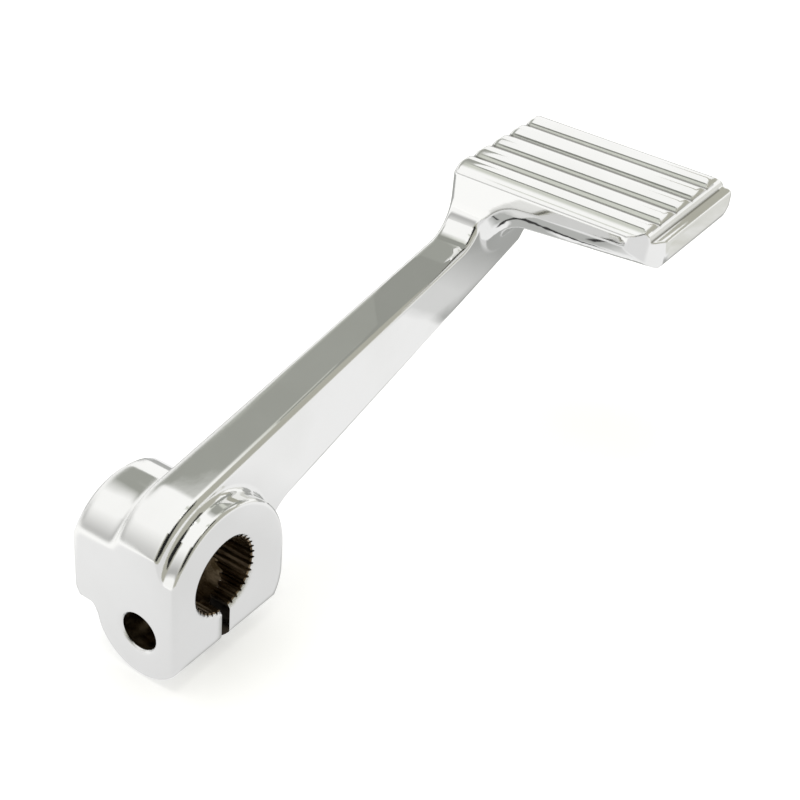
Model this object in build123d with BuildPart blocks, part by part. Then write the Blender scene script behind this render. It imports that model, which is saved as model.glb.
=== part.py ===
"""Rear brake pedal: a one-piece forged lever with a serrated clamp hub and a ribbed foot pad.

Frame, in millimetres: the origin is on the axis of the clamp bore, on the outboard face of the
hub. X points forward from the hub to the pad, Y points inboard along the bore and Z points up.
"""
import math
import os

from build123d import *

# Serrated clamp bore, made for a 19.05 mm shaft
tooth_count = 36
root_radius = 9.525
tooth_depth = 0.675
crest_share = 0.42
root_share = 0.18
mouth_step = 0.475
mouth_depth = 0.8
slit_width = 2.6

# Hub
eye_radius = 20.1
boss_step = 2.5
boss_proud = 4.65
barrel_step = 3.4
barrel_offset = 2.2
barrel_proud = 11.7
flat_inset = 1.3
side_step = 2.0
shoulder_angle = 60.0

# Clamp lug and its pinch bolt hole
pinch_y = 10.0
pinch_drop = 10.0
pinch_diameter = 9.2
pinch_mouth = 10.0
seat_diameter = 14.5
seat_depth = 3.2
lug_radius = 11.9
lug_corner = 12.0

# Arm
arm_rise = 9.37
arm_width_hub = 11.65
arm_width_pad = 9.6
arm_low_hub = 4.2
arm_fall = 4.8
arm_end = 122.0
crook_share = 1.18
crook_inset = 0.4

# Foot pad
pad_rear = 101.7
rib_count = 5
rib_pitch = 8.32
rib_height = 1.4
crest_height = 54.0
rim_drop = 2.7
pad_width = 55.0
rear_corner = 9.0
front_corner = 5.0
ledge_width = 2.6
ledge_drop = 3.3
end_lift = 0.1
under_gap = 0.02
inner_round = 2.0
riser_share = 0.636
cove_radius = 10.5
nose_drop = 7.5

# Pad underside: depths below the rib crests at Y = 0, outboard rise per mm, rounding behind the pad
lip_drop = 6.2
lip_tilt = 0.04
pad_depth = 14.8
under_tilt = 0.11
lip_angle = 12.0
lip_steps = 6
climb_steps = 4

# Edge radii
arm_edge = 1.5
inner_edge = 1.4
low_edge = 1.2
valley_edge = 0.5
rim_edge = 0.8
foot_edge = 0.8
ledge_edge = 1.2
under_edge = 2.0
boss_edge = 1.0
base_edge = 1.6
neck_edge = 1.9
web_edge = 2.0
barrel_edge = 1.2
flat_edge = 0.5

# Sizes that follow from the ones above
crest_radius = root_radius - tooth_depth
mouth_radius = root_radius + mouth_step
boss_radius = eye_radius - boss_step
barrel_radius = eye_radius - barrel_step
flat_distance = boss_radius - flat_inset
side_distance = boss_radius + side_step
inboard_y = boss_proud + arm_width_hub
barrel_end = inboard_y + barrel_proud
pad_length = rib_count * rib_pitch
pad_front = pad_rear + pad_length
pad_middle = pad_rear + pad_length / 2
outboard_y = inboard_y - pad_width
end_round = ledge_drop + end_lift
mouth_apex = mouth_depth * mouth_radius / (mouth_radius - crest_radius)
rise_tan = math.tan(math.radians(arm_rise))
rise_cos = math.cos(math.radians(arm_rise))
rise_sin = math.sin(math.radians(arm_rise))
fall_tan = math.tan(math.radians(arm_rise + arm_fall))
side_lean = (arm_width_hub - arm_width_pad) / pad_rear
rim_height = crest_height - rim_drop
lip_height = crest_height - lip_drop
under_height = crest_height - pad_depth
valley_height = crest_height - rib_height
ledge_height = crest_height - ledge_drop
nose_height = crest_height - nose_drop
lug_low = -pinch_drop - lug_radius
lug_end = pinch_y + lug_radius
web_y = pinch_y + math.sqrt(lug_radius**2 - (barrel_radius - pinch_drop) ** 2)
overlap = 30.0
high = crest_height + overlap
wide = inboard_y + overlap


def side_y(x):
    """Outboard side of the arm at a distance forward of the bore axis."""
    return boss_proud + side_lean * x


def top_z(x):
    """Top of the arm at a distance forward of the bore axis."""
    return eye_radius / rise_cos + rise_tan * x


def low_z(x):
    """Underside of the arm at a distance forward of the bore axis."""
    return fall_tan * x - arm_low_hub / rise_cos


def under_section(distance, height, tilt):
    """Corner points of the pad, seen from behind, at one distance from its rear face."""
    x = pad_rear + distance
    slope = math.hypot(1.0, tilt)
    centre_y = side_y(x) - cove_radius
    centre_z = height - tilt * centre_y - cove_radius * slope
    start = (side_y(x), centre_z)
    finish = (centre_y + cove_radius * tilt / slope, centre_z + cove_radius / slope)
    across = 1.0 + tilt / slope
    up = 1.0 / slope
    reach = cove_radius / math.hypot(across, up)
    middle = (centre_y + reach * across, centre_z + reach * up)
    far_y = outboard_y - overlap
    tip = (far_y, height - tilt * far_y)
    return x, start, middle, finish, tip


lip = math.radians(lip_angle)
lip_radius = (lip_height - under_height) / (1.0 - math.sin(lip))
turn = (math.pi / 2 - lip) / lip_steps
lip_lines = []
for count in range(-climb_steps, lip_steps + 1):
    angle = lip + max(count, 0) * turn
    climb = min(count, 0) * turn * lip_radius
    forward = lip_radius * (math.cos(lip) - math.cos(angle)) + climb * math.sin(lip)
    height = under_height + lip_radius * (1.0 - math.sin(angle)) - climb * math.cos(lip)
    share = max(count, 0) / lip_steps
    lip_lines.append((forward, height, lip_tilt + share * (under_tilt - lip_tilt)))
flat_lines = [lip_lines[-1], (pad_length + overlap, under_height, under_tilt)]

eye_top = (-eye_radius * rise_sin, eye_radius * rise_cos)
riser_foot = (pad_rear, top_z(pad_rear))
crook_point = (side_distance - crook_inset, low_z(side_distance - crook_inset))
end_point = (arm_end, low_z(arm_end))
riser_radius = riser_share * (rim_height - riser_foot[1])
shoulder = math.radians(shoulder_angle)
shoulder_radius = (side_distance - boss_radius * math.cos(shoulder)) / (1.0 - math.cos(shoulder))
shoulder_start = (boss_radius * math.cos(shoulder), boss_radius * math.sin(shoulder))
shoulder_end = (side_distance, (boss_radius - shoulder_radius) * math.sin(shoulder))
boss_start = (-math.sqrt(boss_radius**2 - shoulder_end[1] ** 2), shoulder_end[1])
buried = lug_low + lug_corner + crook_inset
crook_radius = crook_share * (crook_point[1] - buried)

# Lever: the side view of eye, arm and pad, kept where it lies inside the view from above and behind
with BuildPart() as lever:
    with BuildSketch(Plane.XY.offset(lug_low)):
        with BuildLine():
            Polyline(
                (-overlap, side_y(-overlap)),
                (pad_front + overlap, side_y(pad_front + overlap)),
                (pad_front + overlap, wide),
                (-overlap, wide),
                close=True,
            )
        make_face()
    extrude(amount=high - lug_low)
    for lines, straight in ((lip_lines, False), (flat_lines, True)):
        for line in lines:
            x, start, middle, finish, tip = under_section(*line)
            with BuildSketch(Plane.YZ.offset(x)):
                with BuildLine():
                    ThreePointArc(start, middle, finish)
                    Polyline(finish, tip, (tip[0], high), (wide, high), (wide, start[1]), start)
                make_face()
        loft(ruled=straight)
    with BuildSketch(Plane.XZ.offset(-inboard_y)) as lever_view:
        with BuildLine():
            FilletPolyline(eye_top, riser_foot, (pad_rear, rim_height), radius=riser_radius)
            for rib in range(rib_count):
                back = pad_rear + rib * rib_pitch
                back_z = rim_height if rib == 0 else valley_height
                front_z = rim_height if rib == rib_count - 1 else valley_height
                ThreePointArc(
                    (back, back_z),
                    (back + rib_pitch / 2, crest_height),
                    (back + rib_pitch, front_z),
                )
            Polyline((pad_front, rim_height), (pad_front, nose_height), end_point)
            FilletPolyline(end_point, crook_point, (crook_point[0], buried), radius=crook_radius)
            RadiusArc(eye_top, (-eye_radius, 0.0), -eye_radius)
            Polyline((-eye_radius, 0.0), (-eye_radius, buried), (crook_point[0], buried))
        make_face()
        corners = lever_view.vertices()
        fillet(corners.filter_by_position(Axis.Y, valley_height - 0.01, valley_height + 0.01), radius=valley_edge)
        corners = lever_view.vertices()
        fillet(corners.filter_by_position(Axis.Y, rim_height - 0.01, rim_height + 0.01), radius=rim_edge)
    extrude(amount=pad_width, mode=Mode.INTERSECT)
    middle_x = pad_rear / 2
    for y, z, radius in (
        (side_y(middle_x), top_z(middle_x), arm_edge),
        (inboard_y, top_z(middle_x), inner_edge),
        (side_y(middle_x), low_z(middle_x), low_edge),
        (inboard_y, low_z(middle_x), low_edge),
    ):
        fillet(lever.edges().sort_by_distance((middle_x, y, z))[0], radius=radius)
    # Rounded outboard corners of the pad
    with BuildSketch(Plane.XY):
        for edge_x, way, corner in ((pad_rear, 1.0, rear_corner), (pad_front, -1.0, front_corner)):
            with BuildLine():
                begin = (edge_x, outboard_y + corner)
                finish = (edge_x + way * corner, outboard_y)
                inset = corner * (1.0 - math.sqrt(0.5))
                ThreePointArc(begin, (edge_x + way * inset, outboard_y + inset), finish)
                Polyline(
                    finish,
                    (finish[0], outboard_y - overlap),
                    (edge_x - way * overlap, outboard_y - overlap),
                    (edge_x - way * overlap, begin[1]),
                    begin,
                )
            make_face()
    extrude(amount=high, mode=Mode.SUBTRACT)
    # Round rib ends: outboard they drop to a low ledge, inboard they roll over to the side
    wall_y = outboard_y + ledge_width
    end_low = under_height - under_tilt * outboard_y
    far_y = outboard_y - overlap
    inner_z = crest_height + end_lift - inner_round
    with BuildSketch(Plane.YZ.offset(pad_rear)) as end_view:
        with BuildLine():
            RadiusArc((wall_y, ledge_height), (wall_y + end_round, ledge_height + end_round), end_round)
            Polyline(
                (wall_y + end_round, ledge_height + end_round),
                (wall_y + end_round, high),
                (far_y, high),
                (far_y, end_low - overlap),
                (wall_y, end_low - overlap),
                (wall_y, end_low - under_tilt * ledge_width - under_gap),
                (outboard_y, end_low),
                (outboard_y, ledge_height),
                (wall_y, ledge_height),
            )
        make_face()
        for y, z, radius in (
            (wall_y, ledge_height, foot_edge),
            (outboard_y, ledge_height, ledge_edge),
            (outboard_y, end_low, under_edge),
        ):
            fillet(end_view.vertices().sort_by_distance((y, z, 0.0))[0], radius=radius)
        with BuildLine():
            RadiusArc((inboard_y - inner_round, inner_z + inner_round), (inboard_y, inner_z), inner_round)
            Polyline(
                (inboard_y, inner_z),
                (wide, inner_z),
                (wide, high),
                (inboard_y - inner_round, high),
                (inboard_y - inner_round, inner_z + inner_round),
            )
        make_face()
    extrude(amount=pad_length + overlap, mode=Mode.SUBTRACT)

# Clamp lug: the hub seen along the bore, kept where it lies inside the half-round seen from behind
with BuildPart() as lug:
    with BuildSketch(Plane.XZ):
        with BuildLine():
            FilletPolyline(
                (-flat_distance - overlap, lug_low),
                (side_distance, lug_low),
                shoulder_end,
                radius=lug_corner,
            )
            Polyline(
                shoulder_end,
                (-flat_distance - overlap, shoulder_end[1]),
                (-flat_distance - overlap, lug_low),
            )
        make_face()
    extrude(amount=-lug_end)
    with BuildSketch(Plane.YZ.offset(-flat_distance - overlap)):
        with Locations((pinch_y, -pinch_drop)):
            Circle(lug_radius)
        with Locations((pinch_y, 0.0)):
            Rectangle(2 * lug_radius, 2 * pinch_drop)
    extrude(amount=2 * overlap + flat_distance + side_distance, mode=Mode.INTERSECT)

# Pedal: the lever with barrel, boss and lug, cut flat behind, then bored, slit and drilled
with BuildPart() as pedal:
    add(lever.part)
    with BuildSketch(Plane.XZ.offset(-pinch_y)):
        with Locations((-barrel_offset, 0.0)):
            Circle(barrel_radius)
    extrude(amount=pinch_y - barrel_end)
    with BuildSketch(Plane.XZ):
        with BuildLine():
            ThreePointArc(boss_start, (0.0, boss_radius), shoulder_start)
            RadiusArc(shoulder_start, shoulder_end, shoulder_radius)
            Line(shoulder_end, boss_start)
        make_face()
    extrude(amount=-pinch_y)
    add(lug.part)
    for y, z, radius in (
        (boss_proud, boss_radius, base_edge),
        (inboard_y, barrel_radius, neck_edge),
    ):
        fillet(pedal.edges().sort_by_distance((0.0, y, z))[0], radius=radius)
    chamfer(pedal.edges().sort_by_distance((0.0, barrel_end, barrel_radius))[0], length=barrel_edge)
    fillet(pedal.edges().sort_by_distance((-barrel_offset, web_y, -barrel_radius))[0], radius=web_edge)
    split(bisect_by=Plane.YZ.offset(-flat_distance), keep=Keep.TOP)
    front_face = pedal.faces().sort_by_distance((0.0, 0.0, 0.0))[0]
    fillet(front_face.outer_wire().edges(), radius=boss_edge)
    flat_face = pedal.faces().filter_by(Axis.X).sort_by(Axis.X)[0]
    fillet(flat_face.outer_wire().edges(), radius=flat_edge)
    # Serrated bore with a countersunk mouth at each end
    pitch = 360.0 / tooth_count
    with BuildSketch(Plane.XZ):
        with BuildLine():
            for tooth in range(tooth_count):
                spots = []
                for radius, offset in (
                    (crest_radius, -crest_share / 2),
                    (crest_radius, 0.0),
                    (crest_radius, crest_share / 2),
                    (root_radius, (1.0 - root_share) / 2),
                    (root_radius, 0.5),
                    (root_radius, (1.0 + root_share) / 2),
                    (crest_radius, 1.0 - crest_share / 2),
                ):
                    angle = math.radians((tooth + offset) * pitch)
                    spots.append((radius * math.cos(angle), radius * math.sin(angle)))
                ThreePointArc(spots[0], spots[1], spots[2])
                Line(spots[2], spots[3])
                ThreePointArc(spots[3], spots[4], spots[5])
                Line(spots[5], spots[6])
        make_face()
    extrude(amount=-barrel_end, mode=Mode.SUBTRACT)
    with BuildSketch(Plane.XY):
        with BuildLine():
            Polyline((0.0, 0.0), (mouth_radius, 0.0), (0.0, mouth_apex), close=True)
        make_face()
        with BuildLine():
            Polyline(
                (0.0, barrel_end),
                (mouth_radius, barrel_end),
                (0.0, barrel_end - mouth_apex),
                close=True,
            )
        make_face()
    revolve(axis=Axis.Y, mode=Mode.SUBTRACT)
    # Slit that lets the clamp close, the pinch bolt hole across it and the seat of the bolt head
    with BuildSketch(Plane.XZ):
        with Locations((0.0, lug_low / 2)):
            Rectangle(slit_width, -lug_low)
    extrude(amount=-barrel_end, mode=Mode.SUBTRACT)
    with BuildSketch(Plane.YZ.offset(-flat_distance)):
        with Locations((pinch_y, -pinch_drop)):
            Circle(pinch_diameter / 2)
    extrude(amount=flat_distance + side_distance, mode=Mode.SUBTRACT)
    with BuildSketch(Plane.YZ.offset(side_distance - seat_depth)):
        with Locations((pinch_y, -pinch_drop)):
            Circle(seat_diameter / 2)
    extrude(amount=overlap, mode=Mode.SUBTRACT)
    hole_low = -pinch_drop - pinch_diameter / 2
    rear_mouth = pedal.edges().sort_by_distance((-flat_distance, pinch_y, hole_low))[0]
    chamfer(rear_mouth, length=(pinch_mouth - pinch_diameter) / 2)

os.makedirs("parts", exist_ok=True)
pedal.part.label = "brake_pedal"
export_step(pedal.part, "parts/brake_pedal.step")
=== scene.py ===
"""Looks of a rear brake pedal: chrome plate over the forged lever, oily steel in the clamp bore."""

import math

import bmesh
import bpy
from mathutils import Matrix, Vector


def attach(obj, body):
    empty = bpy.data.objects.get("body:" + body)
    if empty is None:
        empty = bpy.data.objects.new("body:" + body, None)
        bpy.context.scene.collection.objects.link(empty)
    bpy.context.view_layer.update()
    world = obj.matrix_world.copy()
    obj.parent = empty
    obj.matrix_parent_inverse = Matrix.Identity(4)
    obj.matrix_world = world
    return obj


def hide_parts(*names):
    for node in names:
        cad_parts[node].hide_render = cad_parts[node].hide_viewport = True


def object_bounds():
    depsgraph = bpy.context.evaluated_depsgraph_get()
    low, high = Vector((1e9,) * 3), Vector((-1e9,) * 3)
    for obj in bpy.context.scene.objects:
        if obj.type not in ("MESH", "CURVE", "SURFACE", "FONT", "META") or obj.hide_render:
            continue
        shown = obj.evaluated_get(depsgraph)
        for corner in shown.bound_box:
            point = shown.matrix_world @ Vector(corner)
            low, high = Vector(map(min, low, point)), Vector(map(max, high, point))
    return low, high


bl_info = {
    "name": "Rear Brake Pedal",
    "version": (1, 0, 0),
    "blender": (4, 5, 0),
    "location": "3D View > Sidebar > Pedal",
    "description": "Dresses the forged brake pedal in chrome plate and sets it in a small studio",
    "category": "Object",
}

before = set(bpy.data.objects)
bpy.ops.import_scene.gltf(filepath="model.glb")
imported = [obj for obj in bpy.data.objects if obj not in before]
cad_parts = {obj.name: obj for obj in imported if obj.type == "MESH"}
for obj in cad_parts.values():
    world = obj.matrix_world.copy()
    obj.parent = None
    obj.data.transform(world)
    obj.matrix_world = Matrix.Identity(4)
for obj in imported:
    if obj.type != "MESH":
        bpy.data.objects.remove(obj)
cad_low, cad_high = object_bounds()

# Places are in metres from the outboard end of the bore axis: X forward, Y inboard, Z up.
# A border is a pair of values: a fade starts at the first and ends at the second.
# A band is two borders, where it fades in and where it fades out.
# A zone is a band along X and a band along Y.

BLACK = (0.0, 0.0, 0.0)
WHITE = (1.0, 1.0, 1.0)

# Clamp: the serrated bore along Y, the slit below it, and the bolt hole along X
BORE_ROOT = 0.009525
BORE_MOUTH = 0.0008
BOLT_CENTRE = Vector((0.0, 0.010, -0.010))
BOLT_RADIUS = 0.0046
SLIT_HALF = 0.0013

# Bare steel in the clamp: the depth of each mouth that stays plated, and how far it reaches
PLATED_MOUTH = BORE_MOUTH * 0.7
BORE_REACH = BORE_ROOT * 1.01
SLIT_REACH = SLIT_HALF * 1.02
BOLT_REACH = BOLT_RADIUS * 1.02

# Painted shade darkens the steel below the bore, and most of all in the slit
BELOW_BORE = (-BORE_ROOT - 0.0003, -BORE_ROOT)
ACROSS_SLIT = ((-SLIT_HALF * 1.8, -SLIT_HALF * 1.5), (SLIT_HALF * 1.5, SLIT_HALF * 1.8))
BELOW_BORE_SHADE = 0.6
SLIT_SHADE = 0.37
OIL_RELIEF = 0.00002

# The hub's edges look rounder than those of the arm and the pad, except at the step of the boss
HUB_END = (0.022, 0.042)
BOSS_STEP_ACROSS = (0.007, 0.012)
BOSS_STEP_UP = (-0.006, 0.002)

# Painted shade in the valleys between the ribs, where they are level, and at the ledge's foot
VALLEYS_ALONG = ((0.1060, 0.1065), (0.1385, 0.1390))
VALLEYS_UP = ((0.0519, 0.0521), (0.0528, 0.05298))
VALLEYS_LEVEL = (0.5, 0.7)
VALLEY_SHADE = 0.8
LEDGE_FOOT = (((0.1045, 0.1050), (0.1405, 0.1410)), ((-0.0367, -0.0364), (-0.0361, -0.0359)))
LEDGE_FOOT_UP = ((0.0504, 0.0506), (0.0511, 0.0514))
LEDGE_FOOT_SHADE = 0.6

# Grain of the surfaces, in features to the metre
TINT_GRAIN = 45.0
SMEAR_GRAIN = 160.0
WAVE_GRAIN = 70.0
LINE_GRAIN = 900.0
FILM_GRAIN = 420.0
RIPPLE_GRAIN = 55.0
MOTTLE_GRAIN = 90.0

# Duller tint of the plate, and how polishing lines and the oil film are drawn out
TINT_SHARE = (0.96, 0.96, 0.955)
LINE_STRETCH = (0.6, 1.0, 4.0)
FILM_STRETCH = (1.0, 0.25, 1.0)

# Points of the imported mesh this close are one, and the floor lies this far below the pedal
MERGE_DISTANCE = 1e-6
FLOOR_GAP = 0.0002

# Floor in mirrors: lit, duller close to the hub, and white behind it on the inboard side
HUB_FLOOR_ALONG = (0.035, 0.060)
HUB_FLOOR_ACROSS = (-0.005, 0.042)
HUB_FLOOR_DULL = 0.84
HUB_FLOOR_LIT = 0.97
TENT_FLOOR_ALONG = (-0.010, 0.0)
TENT_FLOOR_ACROSS = (0.052, 0.064)

# Floor in mirrors: soft shade, brighter than the full one, below the arm, inboard of the pad
# and where the hub stands
SOFT_SHADE = 1.22
SOFT_SHADE_ZONES = (
    (((0.050, 0.066), (0.104, 0.118)), ((-0.014, 0.0), (0.032, 0.045))),
    (((0.100, 0.110), (0.152, 0.165)), ((0.0135, 0.0175), (0.034, 0.045))),
    (((-0.012, -0.008), (0.036, 0.042)), ((-0.003, -0.001), (0.005, 0.008))),
)

# Floor in mirrors: full shade below the pad, with a rippled edge, and far inboard
PAD_SHADE_EDGE = (0.144, 0.150)
PAD_SHADE_RIPPLE = 0.008
PAD_SHADE_START = 0.42
PAD_SHADE_DEEP = (0.165, 0.195)
PAD_SHADE_ACROSS = ((-0.085, -0.060), (0.05, 0.07))
PAD_SHADE_CLOSE = ((-0.029, -0.025), (0.012, 0.016))
INBOARD_SHADE_ALONG = (0.0, 0.015)
INBOARD_SHADE_ACROSS = (0.092, 0.100)

# Floor in mirrors: a mottled patch ahead of the pad, and two dark lines beside the arm
PATCH_ALONG = (0.215, 0.235)
PATCH_ACROSS = (-0.080, -0.066)
PATCH_COLOUR = (0.653, 0.653, 0.60)
PATCH_THIN = 0.35
DARK_LINE = (0.03, 0.03, 0.03)
ARM_LINE = (((0.050, 0.060), (0.085, 0.095)), ((0.0018, 0.0028), (0.0045, 0.0056)))
SLANT_LINE_SHARE = 0.71
SLANT_LINE_ACROSS = ((0.0825, 0.0845), (0.0905, 0.0925))
SLANT_LINE_ALONG = ((0.064, 0.070), (0.118, 0.124))

# Tent top, and the grey opening in it from the outboard side to the inboard one: place across,
# where the opening starts, where it is full, and how far its grey goes to the pale one.
# A shift keeps the starts above zero, because a colour ramp carries them.
TENT_TOP_LOW = (-0.12, -0.03)
TENT_TOP_HIGH = (0.50, 0.30)
OPENING_LOW = 0.080
OPENING_HIGH = 0.160
OPENING_SHIFT = 0.1
OPENING = (
    (0.086, 0.066, 0.106, 1.0),
    (0.094, 0.064, 0.108, 0.3),
    (0.102, 0.060, 0.112, 0.0),
    (0.113, 0.054, 0.110, 0.0),
    (0.121, 0.060, 0.096, 0.0),
    (0.1255, 0.060, 0.094, 0.0),
    (0.129, 0.062, 0.087, 0.0),
    (0.134, 0.058, 0.086, 0.0),
    (0.138, -0.005, 0.076, 0.0),
    (0.146, -0.025, 0.058, 0.0),
)

# The opening's front border slants, and a hem and a seam of the tent cross over the ribs
FRONT_ACROSS = (0.090, 0.115)
FRONT_ALONG = (0.162, 0.285)
FRONT_FADE = (-0.004, 0.006)
INNER_END = (0.235, 0.250)
OVER_RIBS = (0.084, 0.092)
HEM = ((0.140, 0.145), (0.157, 0.162))
SEAM = ((-0.002, 0.006), (0.014, 0.022))
OVER_BARREL_ALONG = (0.102, 0.116)
OVER_BARREL_ACROSS = ((0.137, 0.141), (0.155, 0.162))
PALE_SHARE = 1.85
HEM_SHARE = 0.6

# Other panels that the chrome mirrors: a board over the arm, the room ahead, and dark cloths,
# each with its azimuth, elevation, distance and size
BOARD_PLACE = Vector((0.102, 0.0155, 0.126))
BOARD_SIZE = (0.059, 0.146)
BOARD_GLOW = 0.9
ROOM_LOW = (0.345, -0.45)
ROOM_HIGH = (0.62, 0.072)
ROOM_DROP = 0.001
CLOTH_COLOUR = (0.012, 0.012, 0.012)
CLOTHS = (
    ("dark_arm", -100.0, 65.0, 0.4, (0.20, 0.15)),
    ("dark_stand", -150.0, 40.0, 0.5, (0.42, 0.42)),
)

# World: heights of the tent's belt, where it ends forward, and the slanting side of the room
BELT_UP = ((0.15, 0.27), (0.33, 0.70))
BELT_END = (-0.25, 0.1)
ROOM_FORWARD = 0.9
ROOM_UP = -0.35
ROOM_SIDE = (-0.05, 0.10)

# Lamp and camera
SOFTBOX_OFFSET = Vector((-0.06, 0.10, 0.70))
SOFTBOX_SIZE = (0.5, 0.5)
CAMERA_PLACE = Vector((-0.19132, -0.15640, 0.21803))
CAMERA_RIGHT = Vector((0.5704413, -0.8173855, 0.0804835))
CAMERA_UP = Vector((0.4293077, 0.3802697, 0.8192008))
CAMERA_BACK = Vector((-0.7002083, -0.4327538, 0.5678314))
SENSOR_WIDTH = 36.0
NEAREST_SEEN = 0.01


class PedalFinish(bpy.types.PropertyGroup):
    """Finish of the plated lever and of the bare steel inside its clamp"""

    chrome_colour: bpy.props.FloatVectorProperty(
        name="Chrome",
        description="Colour of the plate where it mirrors a white wall",
        subtype="COLOR",
        size=3,
        min=0.0,
        max=1.0,
        default=(0.86, 0.86, 0.85),
    )
    chrome_roughness: bpy.props.FloatProperty(
        name="Polish",
        description="Roughness of the best polished plate",
        subtype="FACTOR",
        min=0.0,
        max=1.0,
        default=0.035,
    )
    # Painted shade: the dark colour laid in the level rib valleys and in the corner at the ledge's
    # foot
    crease_shade_colour: bpy.props.FloatVectorProperty(
        name="Crease shade",
        description="Colour of the painted shade laid between the ribs and at the ledge's foot",
        subtype="COLOR",
        size=3,
        min=0.0,
        max=1.0,
        default=(0.16, 0.155, 0.14),
    )
    haze: bpy.props.FloatProperty(
        name="Haze",
        description="Roughness that handling marks add to the polish",
        subtype="FACTOR",
        min=0.0,
        max=1.0,
        default=0.05,
    )
    wave_depth: bpy.props.FloatProperty(
        name="Wave depth",
        description="Height of the slow waves that hand polishing leaves under the plate",
        subtype="DISTANCE",
        min=0.0,
        max=0.001,
        default=0.00005,
        precision=6,
    )
    scratch_depth: bpy.props.FloatProperty(
        name="Scratch depth",
        description="Depth of the fine polishing lines",
        subtype="DISTANCE",
        min=0.0,
        max=0.001,
        default=0.000002,
        precision=6,
    )
    edge_softness: bpy.props.FloatProperty(
        name="Edge softness",
        description="Reach of the rounding that polished edges show in the shading",
        subtype="DISTANCE",
        min=0.0,
        max=0.01,
        default=0.0008,
        precision=5,
    )
    hub_softness: bpy.props.FloatProperty(
        name="Hub softness",
        description="Reach of the rounding that the hub's edges show in the shading",
        subtype="DISTANCE",
        min=0.0,
        max=0.01,
        default=0.0024,
        precision=5,
    )
    steel_colour: bpy.props.FloatVectorProperty(
        name="Bore steel",
        description="Colour of the oiled bare steel on the teeth and in the slit",
        subtype="COLOR",
        size=3,
        min=0.0,
        max=1.0,
        default=(0.42, 0.33, 0.22),
    )
    oil_colour: bpy.props.FloatVectorProperty(
        name="Oil film",
        description="Colour of the brown oil that lies in patches on the bare steel",
        subtype="COLOR",
        size=3,
        min=0.0,
        max=1.0,
        default=(0.09, 0.062, 0.032),
    )
    crease_angle: bpy.props.FloatProperty(
        name="Crease angle",
        description="Faces that meet at more than this stay a sharp edge",
        subtype="ANGLE",
        min=0.0,
        max=math.pi,
        default=math.radians(32.0),
    )


class PedalStudio(bpy.types.PropertyGroup):
    """Floor, light, mirrored surroundings and camera of the studio"""

    floor_colour: bpy.props.FloatVectorProperty(
        name="Floor",
        description="Colour of the pale studio floor",
        subtype="COLOR",
        size=3,
        min=0.0,
        max=1.0,
        default=(0.78, 0.78, 0.775),
    )
    floor_size: bpy.props.FloatProperty(
        name="Floor size",
        description="Width of the square floor",
        subtype="DISTANCE",
        min=0.5,
        max=20.0,
        default=6.0,
    )
    floor_glow: bpy.props.FloatProperty(
        name="Floor glow",
        description="Light that the floor adds for the camera",
        min=0.0,
        max=1.0,
        default=0.45,
    )
    bright_floor_colour: bpy.props.FloatVectorProperty(
        name="Bright floor",
        description="Brightness of the lit floor where polished metal mirrors it",
        subtype="COLOR",
        size=3,
        min=0.0,
        max=2.0,
        default=(0.943, 0.943, 0.948),
    )
    shaded_floor_colour: bpy.props.FloatVectorProperty(
        name="Shaded floor",
        description="Brightness of the shaded floor where polished metal mirrors it",
        subtype="COLOR",
        size=3,
        min=0.0,
        max=2.0,
        default=(0.39, 0.395, 0.386),
    )
    tent_colour: bpy.props.FloatVectorProperty(
        name="Tent",
        description="Brightness of the white tent over the pedal and on its inboard side",
        subtype="COLOR",
        size=3,
        min=0.0,
        max=2.0,
        default=(1.08, 1.08, 1.07),
    )
    tent_belt_colour: bpy.props.FloatVectorProperty(
        name="Tent belt",
        description="Brightness of the shaded belt along the tent's rear wall",
        subtype="COLOR",
        size=3,
        min=0.0,
        max=2.0,
        default=(0.526, 0.526, 0.517),
    )
    room_colour: bpy.props.FloatVectorProperty(
        name="Room",
        description="Colour of the room on the open outboard side of the tent",
        subtype="COLOR",
        size=3,
        min=0.0,
        max=2.0,
        default=(0.481, 0.476, 0.413),
    )
    ceiling_colour: bpy.props.FloatVectorProperty(
        name="Ceiling",
        description="Colour of the grey ceiling in the opening of the tent top",
        subtype="COLOR",
        size=3,
        min=0.0,
        max=2.0,
        default=(0.376, 0.385, 0.352),
    )
    ceiling_height: bpy.props.FloatProperty(
        name="Ceiling height",
        description="Height of the tent top above the bore axis",
        subtype="DISTANCE",
        min=0.1,
        max=3.0,
        default=0.2,
    )
    lamp_strength: bpy.props.FloatProperty(
        name="Lamp",
        description="Brightness of the soft lamp above the pedal",
        min=0.0,
        max=10.0,
        default=2.0,
    )
    lens: bpy.props.FloatProperty(
        name="Lens",
        description="Focal length of the camera",
        subtype="DISTANCE_CAMERA",
        min=10.0,
        max=300.0,
        default=70.0,
    )


def new_material(name):
    """A fresh node material, its tree and its Principled shader."""
    material = bpy.data.materials.new(name)
    material.use_nodes = True
    tree = material.node_tree
    shader = next(n for n in tree.nodes if n.type == "BSDF_PRINCIPLED")
    return material, tree, shader


def glowing_material(name, colour, strength=1.0):
    """A material that shows its own even glow and mirrors nothing."""
    material, tree, shader = new_material(name)
    shader.inputs["Base Color"].default_value = (*BLACK, 1.0)
    shader.inputs["Specular IOR Level"].default_value = 0.0
    shader.inputs["Emission Color"].default_value = (*colour, 1.0)
    shader.inputs["Emission Strength"].default_value = strength
    return material, tree, shader


def scaled(colour, share):
    """A colour made darker or brighter."""
    return [channel * share for channel in colour]


def add_node(tree, kind, **values):
    """A node of one kind, with values put on its inputs by name and on its settings."""
    node = tree.nodes.new(kind)
    for key, value in values.items():
        if key in node.inputs:
            node.inputs[key].default_value = value
        else:
            setattr(node, key, value)
    return node


def own_place(tree):
    """Coordinates of the object itself, which are the shared frame's."""
    return tree.nodes.new("ShaderNodeTexCoord").outputs["Object"]


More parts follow.
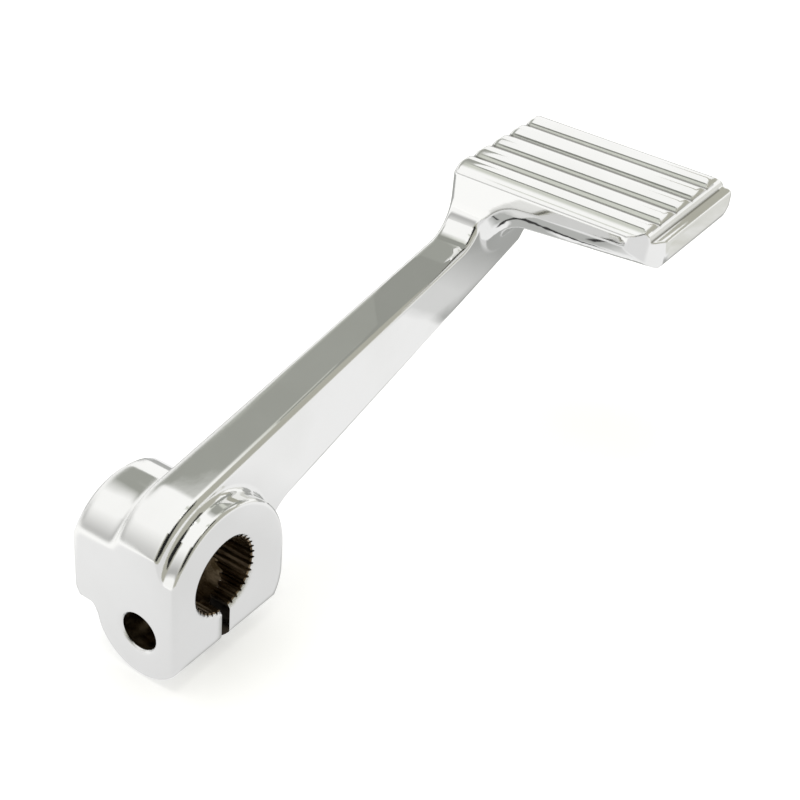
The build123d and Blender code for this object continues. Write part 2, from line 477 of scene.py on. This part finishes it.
def split_axes(tree, vector):
    """The X, Y and Z of a vector."""
    node = tree.nodes.new("ShaderNodeSeparateXYZ")
    tree.links.new(vector, node.inputs["Vector"])
    return node.outputs["X"], node.outputs["Y"], node.outputs["Z"]


def stretched(tree, place, scale):
    """Coordinates scaled along each axis, so that a pattern on them is drawn out."""
    node = add_node(tree, "ShaderNodeMapping", Scale=scale)
    tree.links.new(place, node.inputs["Vector"])
    return node.outputs["Vector"]


def noise_on(tree, place, grain, detail=4.0, roughness=0.5):
    """Noise on the given coordinates, with so many features to their metre."""
    node = add_node(tree, "ShaderNodeTexNoise", Scale=grain, Detail=detail, Roughness=roughness)
    tree.links.new(place, node.inputs["Vector"])
    return node.outputs["Fac"]


def calculate(tree, operation, *values):
    """Sum on values that are numbers or other nodes' outputs."""
    node = add_node(tree, "ShaderNodeMath", operation=operation)
    for socket, value in zip(node.inputs, values):
        if isinstance(value, bpy.types.NodeSocket):
            tree.links.new(value, socket)
        else:
            socket.default_value = value
    return node.outputs[0]


def product(tree, first, second):
    """Two values multiplied."""
    return calculate(tree, "MULTIPLY", first, second)


def map_range(tree, value, low, high, out_low, out_high):
    """One value carried from one range to another, held at its ends."""
    node = add_node(
        tree,
        "ShaderNodeMapRange",
        **{"From Min": low, "From Max": high, "To Min": out_low, "To Max": out_high},
    )
    tree.links.new(value, node.inputs["Value"])
    return node.outputs["Result"]


def rise(tree, value, border):
    """Zero before a border and one after it."""
    return map_range(tree, value, border[0], border[1], 0.0, 1.0)


def fall(tree, value, border):
    """One before a border and zero after it."""
    return map_range(tree, value, border[0], border[1], 1.0, 0.0)


def band(tree, value, borders):
    """One inside a band of values, fading to zero over its two borders."""
    return product(tree, rise(tree, value, borders[0]), fall(tree, value, borders[1]))


def inside_zone(tree, x, y, zone):
    """One inside a zone, fading to zero over its four borders."""
    return product(tree, band(tree, x, zone[0]), band(tree, y, zone[1]))


def blend(tree, factor, first, second):
    """Mix of two colours; each is a fixed colour or another node's output."""
    node = add_node(tree, "ShaderNodeMix", data_type="RGBA")
    tree.links.new(factor, node.inputs["Factor"])
    for socket, colour in ((node.inputs[6], first), (node.inputs[7], second)):
        if isinstance(colour, bpy.types.NodeSocket):
            tree.links.new(colour, socket)
        else:
            socket.default_value = (*colour, 1.0)
    return node.outputs[2]


def colour_between(tree, factor, start, end):
    """Colour that goes from a start to an end; each is a place on the factor and a colour."""
    node = tree.nodes.new("ShaderNodeValToRGB")
    for stop, (position, colour) in zip(node.color_ramp.elements, (start, end)):
        stop.position = position
        stop.color = (*colour, 1.0)
    tree.links.new(factor, node.inputs["Fac"])
    return node.outputs["Color"]


def add_relief(tree, height, depth):
    """A bump node that raises the surface by a pattern of the given depth."""
    node = add_node(tree, "ShaderNodeBump", Strength=1.0, Distance=depth)
    tree.links.new(height, node.inputs["Height"])
    return node


def plate_colour(tree, finish, place):
    """Colour of the plate: a faint tint, and painted shade between the ribs and at the ledge's foot.
    """
    x, y, z = split_axes(tree, place)
    base = finish.chrome_colour
    dull = [channel * share for channel, share in zip(base, TINT_SHARE)]
    tint = colour_between(tree, noise_on(tree, place, TINT_GRAIN), (0.3, dull), (0.6, base))
    _, _, upward = split_axes(tree, tree.nodes.new("ShaderNodeNewGeometry").outputs["Normal"])
    # Painted shade in the level valleys between the ribs and in the corner at the ledge's foot
    valleys = product(tree, band(tree, z, VALLEYS_UP), band(tree, x, VALLEYS_ALONG))
    level = product(tree, rise(tree, upward, VALLEYS_LEVEL), VALLEY_SHADE)
    plated = blend(tree, product(tree, valleys, level), tint, finish.crease_shade_colour)
    corner = product(tree, inside_zone(tree, x, y, LEDGE_FOOT), band(tree, z, LEDGE_FOOT_UP))
    return blend(tree, product(tree, corner, LEDGE_FOOT_SHADE), plated, finish.crease_shade_colour)


def plate_relief(tree, finish, place):
    """Lie of the plate's surface: edges that look rounded, slow waves and fine polishing lines."""
    x, y, z = split_axes(tree, place)
    boss_step = product(tree, fall(tree, y, BOSS_STEP_ACROSS), rise(tree, z, BOSS_STEP_UP))
    elsewhere = calculate(tree, "SUBTRACT", 1.0, boss_step)
    soft_hub = product(tree, fall(tree, x, HUB_END), elsewhere)
    softness = map_range(tree, soft_hub, 0.0, 1.0, finish.edge_softness, finish.hub_softness)
    edges = add_node(tree, "ShaderNodeBevel", samples=8)
    tree.links.new(softness, edges.inputs["Radius"])
    waves = noise_on(tree, place, WAVE_GRAIN, detail=2.0, roughness=0.4)
    wave_relief = add_relief(tree, waves, finish.wave_depth)
    tree.links.new(edges.outputs["Normal"], wave_relief.inputs["Normal"])
    lines = noise_on(tree, stretched(tree, place, LINE_STRETCH), LINE_GRAIN, detail=3.0)
    line_relief = add_relief(tree, lines, finish.scratch_depth)
    tree.links.new(wave_relief.outputs["Normal"], line_relief.inputs["Normal"])
    return line_relief.outputs["Normal"]


def chrome_plate(finish):
    """Polished chrome: slow waves from the forging under it, fine polishing lines, faint haze."""
    material, tree, shader = new_material("chrome_plate")
    shader.inputs["Metallic"].default_value = 1.0
    place = own_place(tree)
    smears = noise_on(tree, place, SMEAR_GRAIN, detail=8.0, roughness=0.65)
    best = finish.chrome_roughness
    polish = map_range(tree, smears, low=0.45, high=0.75, out_low=best, out_high=best + finish.haze)
    tree.links.new(plate_colour(tree, finish, place), shader.inputs["Base Color"])
    tree.links.new(polish, shader.inputs["Roughness"])
    tree.links.new(plate_relief(tree, finish, place), shader.inputs["Normal"])
    return material


def bore_steel(finish):
    """Bare broached steel under a brown oil film, with painted shade below the bore, most in the
    slit.
    """
    material, tree, shader = new_material("bore_steel")
    shader.inputs["Metallic"].default_value = 1.0
    place = own_place(tree)
    x, _, z = split_axes(tree, place)
    drawn_out = stretched(tree, place, FILM_STRETCH)
    film = noise_on(tree, drawn_out, FILM_GRAIN, detail=6.0, roughness=0.6)
    oiled = colour_between(tree, film, (0.42, finish.oil_colour), (0.68, finish.steel_colour))
    # Painted shade: darker below the bore, and darkest in the slit
    below = fall(tree, z, BELOW_BORE)
    slit = product(tree, below, band(tree, x, ACROSS_SLIT))
    depth = product(
        tree,
        map_range(tree, below, 0.0, 1.0, 1.0, BELOW_BORE_SHADE),
        map_range(tree, slit, 0.0, 1.0, 1.0, SLIT_SHADE),
    )
    shaded = add_node(tree, "ShaderNodeMix", data_type="RGBA", blend_type="MULTIPLY", Factor=1.0)
    tree.links.new(oiled, shaded.inputs[6])
    tree.links.new(depth, shaded.inputs[7])
    tree.links.new(shaded.outputs[2], shader.inputs["Base Color"])
    shine = map_range(tree, film, low=0.35, high=0.7, out_low=0.25, out_high=0.5)
    tree.links.new(shine, shader.inputs["Roughness"])
    tree.links.new(add_relief(tree, film, OIL_RELIEF).outputs["Normal"], shader.inputs["Normal"])
    return material


def inside_clamp(point):
    """True on the teeth of the bore, on the slit's walls and on the wall of the bolt hole."""
    between_mouths = PLATED_MOUTH < point.y < cad_high.y - PLATED_MOUTH
    if between_mouths and math.hypot(point.x, point.z) < BORE_REACH:
        return True
    if abs(point.x) < SLIT_REACH and cad_low.z < point.z < 0.0:
        return True
    return math.hypot(point.y - BOLT_CENTRE.y, point.z - BOLT_CENTRE.z) < BOLT_REACH


def add_object(context, name, shape, *materials):
    """Turn a shape into an object of the scene, with its materials in order."""
    mesh = bpy.data.meshes.new(name)
    shape.to_mesh(mesh)
    shape.free()
    for material in materials:
        mesh.materials.append(material)
    item = bpy.data.objects.new(name, mesh)
    context.scene.collection.objects.link(item)
    return item


class PEDAL_OT_body(bpy.types.Operator):
    """Lay a smooth chrome skin on the forged lever and bare steel in its clamp"""

    bl_idname = "pedal.body"
    bl_label = "Pedal Body"
    bl_options = {"REGISTER", "UNDO"}

    def execute(self, context):
        finish = context.scene.pedal_finish
        shape = bmesh.new()
        shape.from_mesh(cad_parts["brake_pedal"].data)
        bmesh.ops.remove_doubles(shape, verts=shape.verts, dist=MERGE_DISTANCE)
        bmesh.ops.recalc_face_normals(shape, faces=shape.faces)
        for face in shape.faces:
            face.smooth = True
            face.material_index = 1 if inside_clamp(face.calc_center_median()) else 0
        for edge in shape.edges:
            edge.smooth = edge.calc_face_angle(math.pi) < finish.crease_angle
        body = add_object(context, "pedal_body", shape, chrome_plate(finish), bore_steel(finish))
        even = body.modifiers.new("even_shading", "WEIGHTED_NORMAL")
        even.mode = "FACE_AREA"
        even.weight = 100
        even.keep_sharp = True
        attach(body, "root")
        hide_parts("brake_pedal")
        return {"FINISHED"}


def mirrored_floor(tree, studio):
    """Brightness of the floor as polished metal mirrors it: the lit floor, then shade by shade."""
    place = own_place(tree)
    x, y, _ = split_axes(tree, place)
    bright = studio.bright_floor_colour
    by_hub = blend(
        tree,
        rise(tree, y, HUB_FLOOR_ACROSS),
        scaled(bright, HUB_FLOOR_DULL),
        scaled(bright, HUB_FLOOR_LIT),
    )
    floor = blend(tree, rise(tree, x, HUB_FLOOR_ALONG), by_hub, bright)
    tent = product(tree, fall(tree, x, TENT_FLOOR_ALONG), rise(tree, y, TENT_FLOOR_ACROSS))
    floor = blend(tree, tent, floor, studio.tent_colour)

    soft_shade = scaled(studio.shaded_floor_colour, SOFT_SHADE)
    for zone in SOFT_SHADE_ZONES:
        floor = blend(tree, inside_zone(tree, x, y, zone), floor, soft_shade)

    noise = noise_on(tree, place, RIPPLE_GRAIN)
    ripple = map_range(tree, noise, 0.0, 1.0, -PAD_SHADE_RIPPLE, PAD_SHADE_RIPPLE)
    edge = rise(tree, calculate(tree, "SUBTRACT", x, ripple), PAD_SHADE_EDGE)
    beside = band(tree, y, PAD_SHADE_ACROSS)
    inboard = product(tree, rise(tree, x, INBOARD_SHADE_ALONG), rise(tree, y, INBOARD_SHADE_ACROSS))
    for shade in (
        product(tree, product(tree, edge, PAD_SHADE_START), beside),
        product(tree, rise(tree, x, PAD_SHADE_DEEP), beside),
        product(tree, edge, band(tree, y, PAD_SHADE_CLOSE)),
        inboard,
    ):
        floor = blend(tree, shade, floor, studio.shaded_floor_colour)

    patch = product(tree, rise(tree, x, PATCH_ALONG), fall(tree, y, PATCH_ACROSS))
    noise = noise_on(tree, place, MOTTLE_GRAIN)
    mottle = map_range(tree, noise, low=0.35, high=0.65, out_low=PATCH_THIN, out_high=1.0)
    floor = blend(tree, product(tree, patch, mottle), floor, PATCH_COLOUR)

    floor = blend(tree, inside_zone(tree, x, y, ARM_LINE), floor, DARK_LINE)
    slant = calculate(tree, "MULTIPLY_ADD", x, SLANT_LINE_SHARE, y)
    slant_line = product(tree, band(tree, slant, SLANT_LINE_ACROSS), band(tree, x, SLANT_LINE_ALONG))
    return blend(tree, slant_line, floor, DARK_LINE)


def floor_material(studio):
    """Pale floor that takes shadows, nearly white to the camera, lit and shaded in mirrors."""
    material, tree, shader = new_material("studio_floor")
    shader.inputs["Roughness"].default_value = 0.9
    rays = tree.nodes.new("ShaderNodeLightPath").outputs
    mirrored = calculate(tree, "MAXIMUM", rays["Is Glossy Ray"], rays["Is Transmission Ray"])
    seen = calculate(tree, "MAXIMUM", rays["Is Camera Ray"], mirrored)
    glow = blend(tree, mirrored, [studio.floor_glow] * 3, mirrored_floor(tree, studio))
    paint = blend(tree, mirrored, studio.floor_colour, BLACK)
    tree.links.new(paint, shader.inputs["Base Color"])
    tree.links.new(glow, shader.inputs["Emission Color"])
    tree.links.new(seen, shader.inputs["Emission Strength"])
    return material


def opening_across(tree, y):
    """Where the opening starts, where it is full and how pale it is, at a place across the tent."""
    borders = tree.nodes.new("ShaderNodeValToRGB")
    tree.links.new(rise(tree, y, (OPENING_LOW, OPENING_HIGH)), borders.inputs["Fac"])
    stops = borders.color_ramp.elements
    while len(stops) < len(OPENING):
        stops.new(0.5)
    for stop, (place, start, full, paleness) in zip(stops, OPENING):
        stop.position = (place - OPENING_LOW) / (OPENING_HIGH - OPENING_LOW)
        stop.color = (start + OPENING_SHIFT, full + OPENING_SHIFT, paleness, 1.0)
    parts = tree.nodes.new("ShaderNodeSeparateColor")
    tree.links.new(borders.outputs["Color"], parts.inputs["Color"])
    return parts.outputs["Red"], parts.outputs["Green"], parts.outputs["Blue"]


def tent_top_material(studio):
    """White tent top with a grey opening, whose edges run slantwise and fade softly."""
    material, tree, shader = glowing_material("tent_top", studio.tent_colour)
    x, y, _ = split_axes(tree, own_place(tree))
    start, full, paleness = opening_across(tree, y)
    past_start = tree.nodes.new("ShaderNodeMapRange")
    tree.links.new(calculate(tree, "ADD", x, OPENING_SHIFT), past_start.inputs["Value"])
    tree.links.new(start, past_start.inputs["From Min"])
    tree.links.new(full, past_start.inputs["From Max"])
    front = map_range(tree, y, *FRONT_ACROSS, *FRONT_ALONG)
    before_front = rise(tree, calculate(tree, "SUBTRACT", front, x), FRONT_FADE)
    opening = product(tree, past_start.outputs["Result"], before_front)
    opening = product(tree, opening, fall(tree, y, INNER_END))

    pale = scaled(studio.ceiling_colour, PALE_SHARE)
    grey = blend(tree, paleness, studio.ceiling_colour, pale)
    over_barrel = product(tree, rise(tree, x, OVER_BARREL_ALONG), band(tree, y, OVER_BARREL_ACROSS))
    grey = blend(tree, over_barrel, grey, pale)
    glow = blend(tree, opening, studio.tent_colour, grey)

    over_ribs = fall(tree, y, OVER_RIBS)
    hem = product(tree, band(tree, x, HEM), over_ribs)
    glow = blend(tree, hem, glow, scaled(studio.ceiling_colour, HEM_SHARE))
    seam = product(tree, band(tree, x, SEAM), over_ribs)
    glow = blend(tree, seam, glow, pale)
    tree.links.new(glow, shader.inputs["Emission Color"])
    return material


def board_material(studio):
    """Grey board with an even glow on its face and nothing to see from behind."""
    material, tree, shader = glowing_material("grey_board", studio.ceiling_colour, BOARD_GLOW)
    back = tree.nodes.new("ShaderNodeNewGeometry").outputs["Backfacing"]
    tree.links.new(calculate(tree, "SUBTRACT", 1.0, back), shader.inputs["Alpha"])
    return material


def room_material(studio):
    """Even glow of the room ahead of the tent."""
    return glowing_material("room_wall", studio.room_colour)[0]


def cloth_material():
    """Black cloth that the chrome mirrors as its darkest lines."""
    material, _, shader = new_material("dark_cloth")
    shader.inputs["Base Color"].default_value = (*CLOTH_COLOUR, 1.0)
    shader.inputs["Roughness"].default_value = 1.0
    return material


def studio_world(context, studio):
    """White tent on the inboard side, the room on the outboard side, plain white for the camera."""
    world = bpy.data.worlds.new("studio_world")
    context.scene.world = world
    world.use_nodes = True
    tree = world.node_tree
    background = next(n for n in tree.nodes if n.type == "BACKGROUND")
    x, y, z = split_axes(tree, tree.nodes.new("ShaderNodeTexCoord").outputs["Generated"])
    belt = product(tree, band(tree, z, BELT_UP), fall(tree, x, BELT_END))
    tent = blend(tree, belt, studio.tent_colour, studio.tent_belt_colour)
    forward = calculate(tree, "MAXIMUM", x, 0.0)
    inboard = calculate(tree, "MULTIPLY_ADD", forward, ROOM_FORWARD, y)
    inboard = calculate(tree, "MULTIPLY_ADD", z, ROOM_UP, inboard)
    around = blend(tree, rise(tree, inboard, ROOM_SIDE), studio.room_colour, tent)
    rays = tree.nodes.new("ShaderNodeLightPath").outputs
    shown = blend(tree, rays["Is Camera Ray"], around, WHITE)
    tree.links.new(shown, background.inputs["Color"])


def placed(place, side, up, back):
    """Matrix that puts a lamp, panel or camera at a place, turned to three axes."""
    return Matrix.Translation(place) @ Matrix((side, up, back)).transposed().to_4x4()


def aim(place, target):
    """Matrix that puts a lamp or panel at a place, with its back axis pointing away from a target."""
    back = (place - target).normalized()
    side = Vector((0.0, 0.0, 1.0)).cross(back).normalized()
    return placed(place, side, back.cross(side), back)


def from_angles(target, azimuth, elevation, distance):
    """Point at a distance from a target, turned from the forward axis and raised from the floor."""
    a = math.radians(azimuth)
    e = math.radians(elevation)
    way = Vector((math.cos(e) * math.cos(a), math.cos(e) * math.sin(a), math.sin(e)))
    return target + distance * way


def flat_shape(width, height):
    """A flat rectangle about the origin that faces up."""
    shape = bmesh.new()
    bmesh.ops.create_grid(shape, x_segments=1, y_segments=1, size=0.5)
    bmesh.ops.scale(shape, vec=(width, height, 1.0), verts=shape.verts)
    return shape


def aimed_shape(place, target, size):
    """A rectangle at a place that faces away from a target."""
    shape = flat_shape(*size)
    bmesh.ops.transform(shape, matrix=aim(place, target), verts=shape.verts)
    return shape


def level_shape(low, high, height):
    """A level rectangle between two corners, given as X and Y, that faces down."""
    shape = flat_shape(high[0] - low[0], high[1] - low[1])
    middle = ((low[0] + high[0]) / 2, (low[1] + high[1]) / 2, height)
    bmesh.ops.translate(shape, vec=middle, verts=shape.verts)
    bmesh.ops.reverse_faces(shape, faces=shape.faces)
    return shape


def add_panel(context, name, shape, material):
    """A panel of the stage that shows only in reflections, and adds no light and no shadow."""
    panel = add_object(context, name, shape, material)
    panel.visible_camera = False
    panel.visible_diffuse = False
    panel.visible_shadow = False


def add_floor(context, studio, middle):
    """The square floor just under the pedal."""
    shape = flat_shape(studio.floor_size, studio.floor_size)
    bmesh.ops.translate(shape, vec=(middle.x, middle.y, cad_low.z - FLOOR_GAP), verts=shape.verts)
    floor = add_object(context, "studio_floor", shape, floor_material(studio))


def add_surroundings(context, studio, middle):
    """The panels that the chrome mirrors: tent top, board, room and dark cloths."""
    height = studio.ceiling_height
    tent_top = level_shape(TENT_TOP_LOW, TENT_TOP_HIGH, height)
    add_panel(context, "tent_top", tent_top, tent_top_material(studio))
    ahead = BOARD_PLACE + Vector((1.0, 0.0, 0.0))
    board = aimed_shape(BOARD_PLACE, ahead, BOARD_SIZE)
    add_panel(context, "arm_board", board, board_material(studio))
    room = level_shape(ROOM_LOW, ROOM_HIGH, height - ROOM_DROP)
    add_panel(context, "room_wall", room, room_material(studio))
    cloth = cloth_material()
    for name, azimuth, elevation, distance, size in CLOTHS:
        place = from_angles(middle, azimuth, elevation, distance)
        add_panel(context, name, aimed_shape(place, middle, size), cloth)


def add_softbox(context, studio, middle):
    """The rectangular soft lamp above the pedal, whose face has the set brightness."""
    width, height = SOFTBOX_SIZE
    data = bpy.data.lights.new("top_softbox", "AREA")
    data.shape = "RECTANGLE"
    data.size = width
    data.size_y = height
    data.energy = studio.lamp_strength * math.pi * width * height
    lamp = bpy.data.objects.new("top_softbox", data)
    context.scene.collection.objects.link(lamp)
    lamp.matrix_world = aim(middle + SOFTBOX_OFFSET, middle)
    lamp.visible_camera = False


def add_camera(context, studio):
    """The camera, behind and above the hub on the outboard side."""
    data = bpy.data.cameras.new("camera")
    data.sensor_width = SENSOR_WIDTH
    data.lens = studio.lens
    data.clip_start = NEAREST_SEEN
    camera = bpy.data.objects.new("camera", data)
    context.scene.collection.objects.link(camera)
    camera.matrix_world = placed(CAMERA_PLACE, CAMERA_RIGHT, CAMERA_UP, CAMERA_BACK)
    context.scene.camera = camera


class PEDAL_OT_stage(bpy.types.Operator):
    """Set the floor, the lamp, the surroundings that the chrome mirrors, and the camera"""

    bl_idname = "pedal.stage"
    bl_label = "Studio"
    bl_options = {"REGISTER", "UNDO"}

    def execute(self, context):
        studio = context.scene.pedal_studio
        middle = (cad_low + cad_high) / 2
        add_floor(context, studio, middle)
        add_softbox(context, studio, middle)
        add_surroundings(context, studio, middle)
        studio_world(context, studio)
        add_camera(context, studio)
        context.scene.view_settings.view_transform = "Standard"
        return {"FINISHED"}


class PEDAL_PT_sidebar(bpy.types.Panel):
    """Sizes and colours of the pedal and its studio"""

    bl_idname = "PEDAL_PT_sidebar"
    bl_label = "Rear Brake Pedal"
    bl_space_type = "VIEW_3D"
    bl_region_type = "UI"
    bl_category = "Pedal"

    def draw(self, context):
        layout = self.layout
        for group in (context.scene.pedal_finish, context.scene.pedal_studio):
            box = layout.box()
            for key in group.__annotations__:
                box.prop(group, key)
        layout.operator(PEDAL_OT_body.bl_idname)
        layout.operator(PEDAL_OT_stage.bl_idname)


CLASSES = (PedalFinish, PedalStudio, PEDAL_OT_body, PEDAL_OT_stage, PEDAL_PT_sidebar)


def register():
    """Register the classes and hang the settings on the scene."""
    for item in CLASSES:
        bpy.utils.register_class(item)
    bpy.types.Scene.pedal_finish = bpy.props.PointerProperty(type=PedalFinish)
    bpy.types.Scene.pedal_studio = bpy.props.PointerProperty(type=PedalStudio)


def unregister():
    """Take the settings and the classes away again."""
    del bpy.types.Scene.pedal_studio
    del bpy.types.Scene.pedal_finish
    for item in reversed(CLASSES):
        bpy.utils.unregister_class(item)


def main():
    """Build the pieces and the stage."""
    register()
    bpy.ops.pedal.body()
    bpy.ops.pedal.stage()


if __name__ == "__main__":
    main()
